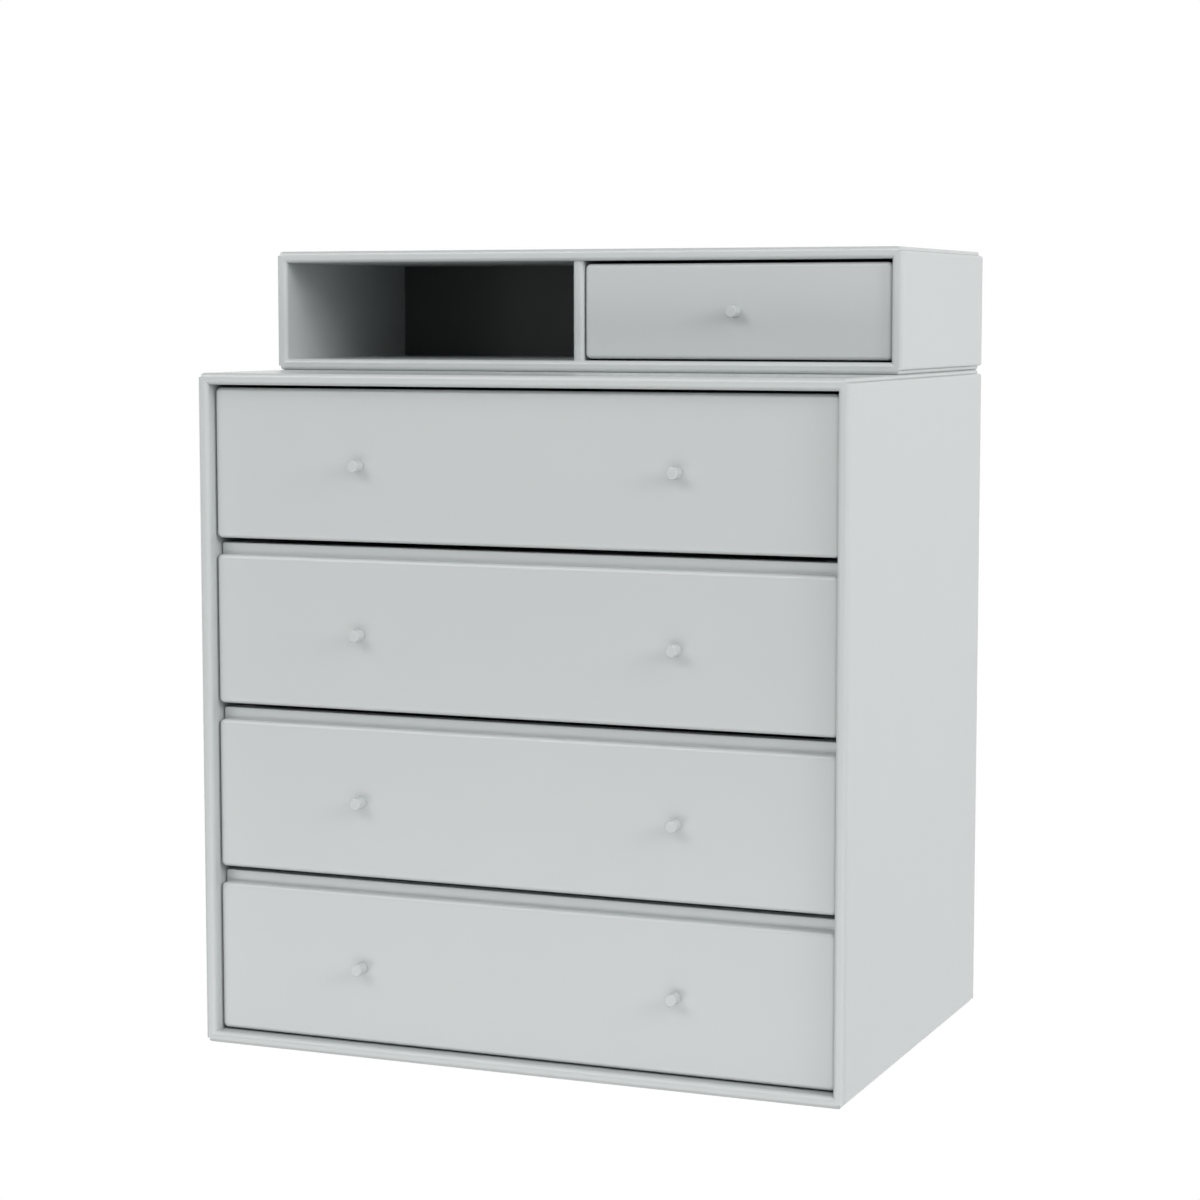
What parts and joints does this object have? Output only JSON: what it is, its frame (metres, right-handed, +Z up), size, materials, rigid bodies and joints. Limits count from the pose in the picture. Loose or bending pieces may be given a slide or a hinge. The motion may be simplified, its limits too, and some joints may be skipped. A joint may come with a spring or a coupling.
{
  "type": "wall-mounted chest of drawers",
  "caption": "Wall-hung lacquered chest: wide drawers with round knobs in a mitred box, and a shallower box on top with an open bay beside a small drawer.",
  "frame": {"origin": "on the wall, at the middle of the wall rail's line of screw holes", "axes": "+X to the right of someone who faces the chest, -Y out of the wall towards them, +Z up"},
  "size_m": [0.696, 0.4725, 0.822],
  "materials": {
    "grey_lacquer": "pale cool grey satin lacquer on fibreboard",
    "back_board": "dark grey satin lacquer on fibreboard",
    "zinc_steel": "zinc-plated rolled steel sheet",
    "screw_steel": "zinc-plated screw steel",
    "batten_wood": "raw planed softwood"
  },
  "bodies": {
    "carcass": {"carcass_screws": "screw_steel", "hanging_batten": "batten_wood", "hanging_hooks": "zinc_steel", "main_back_panel": "back_board", "main_bottom_panel": "grey_lacquer", "main_left_panel": "grey_lacquer", "main_right_panel": "grey_lacquer", "main_runner_rails": "zinc_steel", "main_top_panel": "grey_lacquer", "upper_back_panel": "back_board", "upper_bottom_panel": "grey_lacquer", "upper_divider": "grey_lacquer", "upper_left_panel": "grey_lacquer", "upper_right_panel": "grey_lacquer", "upper_runner_rails": "zinc_steel", "upper_top_panel": "grey_lacquer", "wall_rail": "zinc_steel"},
    "drawer_1": {"drawer_1_back": "grey_lacquer", "drawer_1_bottom": "grey_lacquer", "drawer_1_front": "grey_lacquer", "drawer_1_inner_front": "grey_lacquer", "drawer_1_knobs": "grey_lacquer", "drawer_1_runner_members": "zinc_steel", "drawer_1_screws": "screw_steel", "drawer_1_sides": "grey_lacquer"},
    "drawer_1_runner_middles": {"drawer_1_middle_members": "zinc_steel"},
    "drawer_2": {"drawer_2_back": "grey_lacquer", "drawer_2_bottom": "grey_lacquer", "drawer_2_front": "grey_lacquer", "drawer_2_inner_front": "grey_lacquer", "drawer_2_knobs": "grey_lacquer", "drawer_2_runner_members": "zinc_steel", "drawer_2_screws": "screw_steel", "drawer_2_sides": "grey_lacquer"},
    "drawer_2_runner_middles": {"drawer_2_middle_members": "zinc_steel"},
    "drawer_3": {"drawer_3_back": "grey_lacquer", "drawer_3_bottom": "grey_lacquer", "drawer_3_front": "grey_lacquer", "drawer_3_inner_front": "grey_lacquer", "drawer_3_knobs": "grey_lacquer", "drawer_3_runner_members": "zinc_steel", "drawer_3_screws": "screw_steel", "drawer_3_sides": "grey_lacquer"},
    "drawer_3_runner_middles": {"drawer_3_middle_members": "zinc_steel"},
    "drawer_4": {"drawer_4_back": "grey_lacquer", "drawer_4_bottom": "grey_lacquer", "drawer_4_front": "grey_lacquer", "drawer_4_inner_front": "grey_lacquer", "drawer_4_knobs": "grey_lacquer", "drawer_4_runner_members": "zinc_steel", "drawer_4_screws": "screw_steel", "drawer_4_sides": "grey_lacquer"},
    "drawer_4_runner_middles": {"drawer_4_middle_members": "zinc_steel"},
    "small_drawer": {"small_drawer_back": "grey_lacquer", "small_drawer_bottom": "grey_lacquer", "small_drawer_front": "grey_lacquer", "small_drawer_knob": "grey_lacquer", "small_drawer_runner_members": "zinc_steel", "small_drawer_screws": "screw_steel", "small_drawer_sides": "grey_lacquer"}
  },
  "joints": [
    {"name": "drawer_1_slide", "type": "slide", "parent": "carcass", "child": "drawer_1", "axis": [0, -1, 0], "range_m": [0, 0.38]},
    {"name": "drawer_1_runner_slide", "type": "slide", "parent": "carcass", "child": "drawer_1_runner_middles", "axis": [0, -1, 0], "range_m": [0, 0.19]},
    {"name": "drawer_2_slide", "type": "slide", "parent": "carcass", "child": "drawer_2", "axis": [0, -1, 0], "range_m": [0, 0.38]},
    {"name": "drawer_2_runner_slide", "type": "slide", "parent": "carcass", "child": "drawer_2_runner_middles", "axis": [0, -1, 0], "range_m": [0, 0.19]},
    {"name": "drawer_3_slide", "type": "slide", "parent": "carcass", "child": "drawer_3", "axis": [0, -1, 0], "range_m": [0, 0.38]},
    {"name": "drawer_3_runner_slide", "type": "slide", "parent": "carcass", "child": "drawer_3_runner_middles", "axis": [0, -1, 0], "range_m": [0, 0.19]},
    {"name": "drawer_4_slide", "type": "slide", "parent": "carcass", "child": "drawer_4", "axis": [0, -1, 0], "range_m": [0, 0.38]},
    {"name": "drawer_4_runner_slide", "type": "slide", "parent": "carcass", "child": "drawer_4_runner_middles", "axis": [0, -1, 0], "range_m": [0, 0.19]},
    {"name": "small_drawer_slide", "type": "slide", "parent": "carcass", "child": "small_drawer", "axis": [0, -1, 0], "range_m": [0, 0.17]}
  ],
  "couplings": [
    {"joint": "drawer_1_runner_slide", "follows": "drawer_1_slide", "ratio": 0.5},
    {"joint": "drawer_2_runner_slide", "follows": "drawer_2_slide", "ratio": 0.5},
    {"joint": "drawer_3_runner_slide", "follows": "drawer_3_slide", "ratio": 0.5},
    {"joint": "drawer_4_runner_slide", "follows": "drawer_4_slide", "ratio": 0.5}
  ]
}
